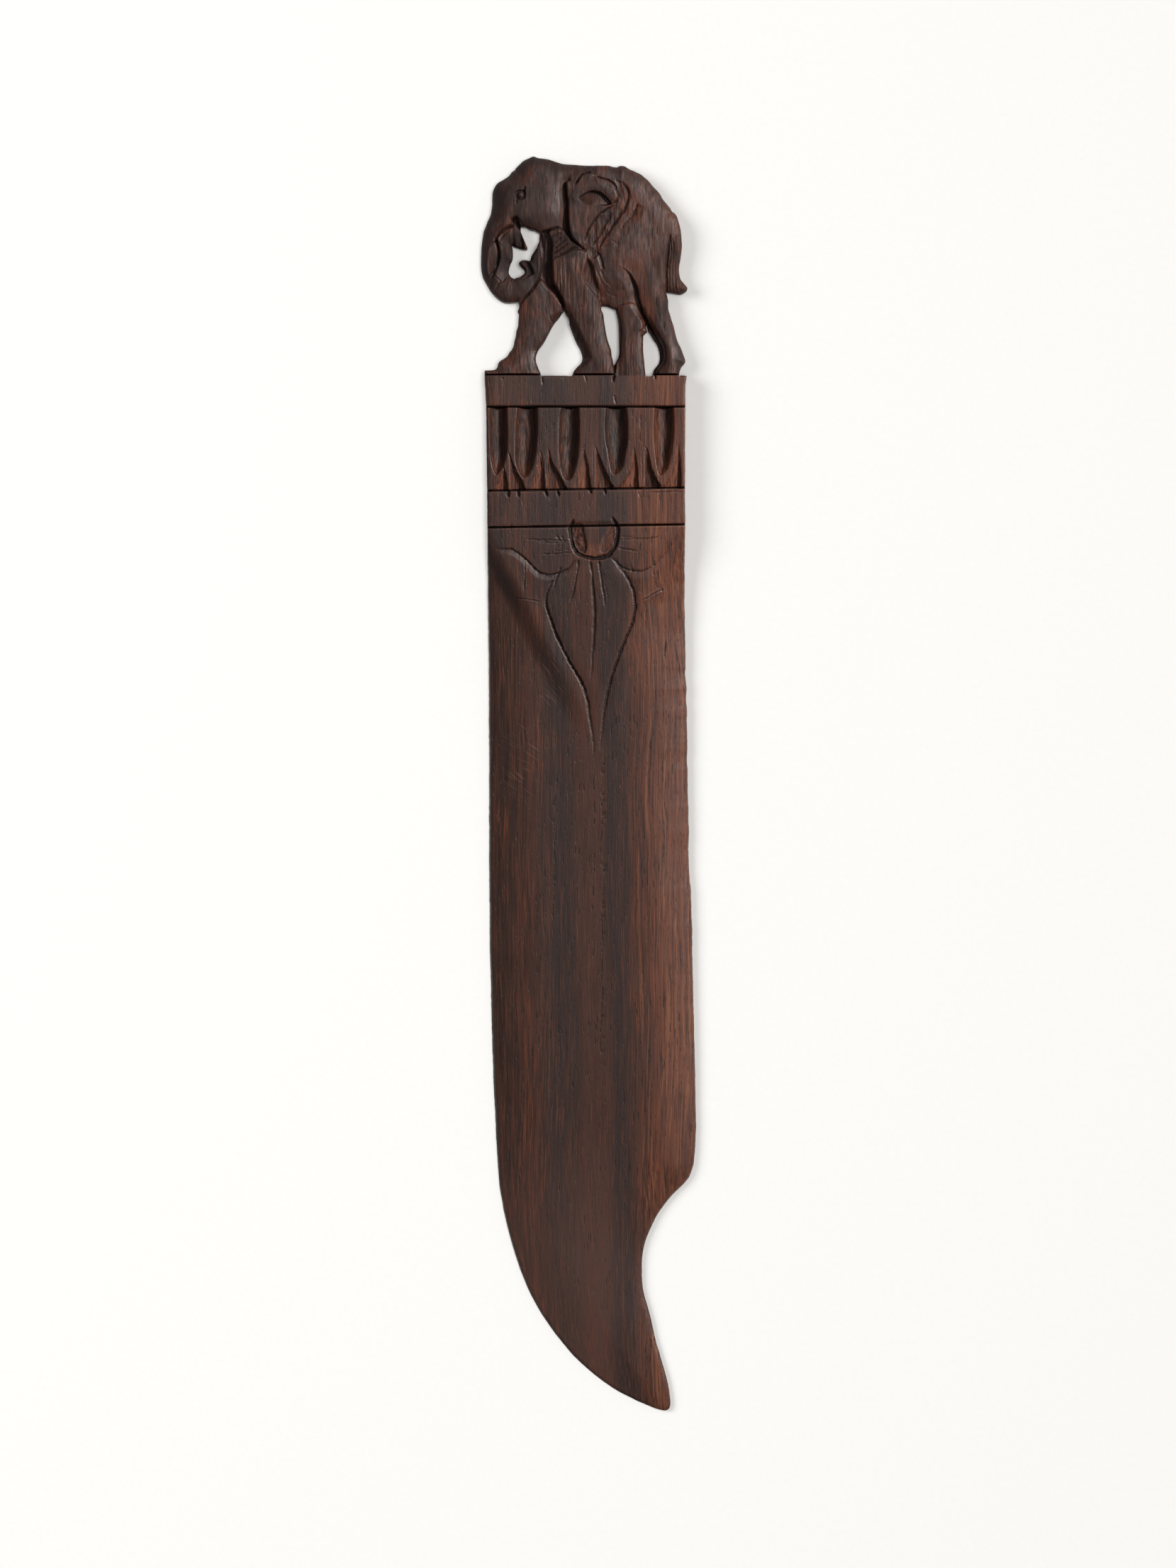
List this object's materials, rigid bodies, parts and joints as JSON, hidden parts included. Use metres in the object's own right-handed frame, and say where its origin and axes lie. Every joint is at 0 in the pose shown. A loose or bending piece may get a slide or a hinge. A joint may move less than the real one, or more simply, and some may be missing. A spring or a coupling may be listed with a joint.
{
  "type": "letter opener",
  "caption": "Paper knife carved from one dark hardwood slat: openwork walking-elephant finial, saw-lined bands with a tongue frieze, and a curved blade engraved with a flower.",
  "frame": {"origin": "on the plain back, under the middle of the outline's bounding box; the object lies flat on its back", "axes": "+X across the slat towards the blade's notched edge, +Y along the slat from the blade's tip to the elephant, +Z out of the carved face"},
  "size_m": [0.0428, 0.25, 0.005],
  "materials": {
    "carved_wood": "satin",
    "smooth_wood": "satin"
  },
  "bodies": {
    "root": {"elephant_finial": "carved_wood", "plinth_band": "smooth_wood", "tongue_frieze": "carved_wood", "collar_band": "smooth_wood", "blade": "smooth_wood"}
  },
  "joints": []
}
